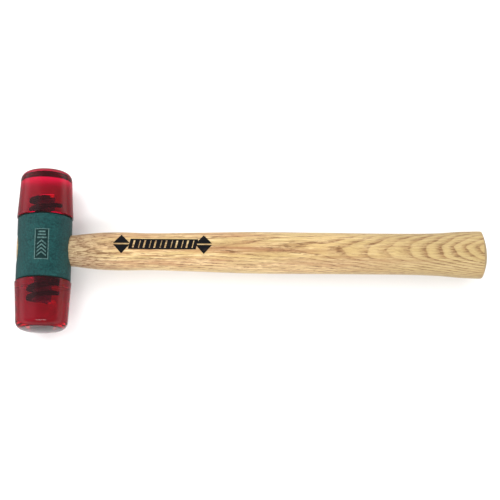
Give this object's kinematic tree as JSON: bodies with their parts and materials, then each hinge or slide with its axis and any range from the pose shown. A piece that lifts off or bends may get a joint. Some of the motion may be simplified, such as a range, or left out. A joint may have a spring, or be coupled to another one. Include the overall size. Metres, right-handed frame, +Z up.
{
  "type": "soft-faced hammer",
  "caption": "Hammer with a painted drum head, screw-on translucent plastic striking faces and a wedged ash handle, lying on its side.",
  "frame": {"origin": "on the surface that the hammer lies on, under the middle of its bounding box; the head's axis and the handle's axis cross 133 mm along -X and 17.8 mm up", "axes": "+X along the handle from the head to the butt, +Y along the head from the lower striking face to the upper one, +Z up, away from the surface that the hammer lies on"},
  "size_m": [0.3016, 0.104, 0.0357],
  "materials": {
    "green_enamel": "satin",
    "red_acetate": "gloss",
    "washer_fibre": "matte",
    "ash_wood": "satin",
    "wedge_wood": "matte",
    "wedge_steel": "satin"
  },
  "bodies": {
    "hammer": {"head_casting": "green_enamel", "handle": "ash_wood", "wooden_wedge": "wedge_wood", "steel_wedge": "wedge_steel"},
    "upper_washer": {"bedding_washer_upper": "washer_fibre"},
    "upper_face": {"striking_face_upper": "red_acetate"},
    "lower_washer": {"bedding_washer_lower": "washer_fibre"},
    "lower_face": {"striking_face_lower": "red_acetate"}
  },
  "joints": [
    {"name": "upper_washer_slide", "type": "slide", "parent": "hammer", "child": "upper_washer", "axis": [0, 1, 0], "range_m": [0, 0.0136]},
    {"name": "upper_face_unscrew", "type": "hinge", "parent": "upper_washer", "child": "upper_face", "pos_m": [-0.13298, 0.021, 0.01785], "axis": [0, 1, 0], "range_deg": [0, 810]},
    {"name": "lower_washer_slide", "type": "slide", "parent": "hammer", "child": "lower_washer", "axis": [0, -1, 0], "range_m": [0, 0.0136]},
    {"name": "lower_face_unscrew", "type": "hinge", "parent": "lower_washer", "child": "lower_face", "pos_m": [-0.13298, -0.021, 0.01785], "axis": [0, -1, 0], "range_deg": [0, 810]}
  ],
  "couplings": [
    {"joint": "upper_washer_slide", "follows": "upper_face_unscrew", "m_per_rad": 0.00095493},
    {"joint": "lower_washer_slide", "follows": "lower_face_unscrew", "m_per_rad": 0.00095493}
  ]
}
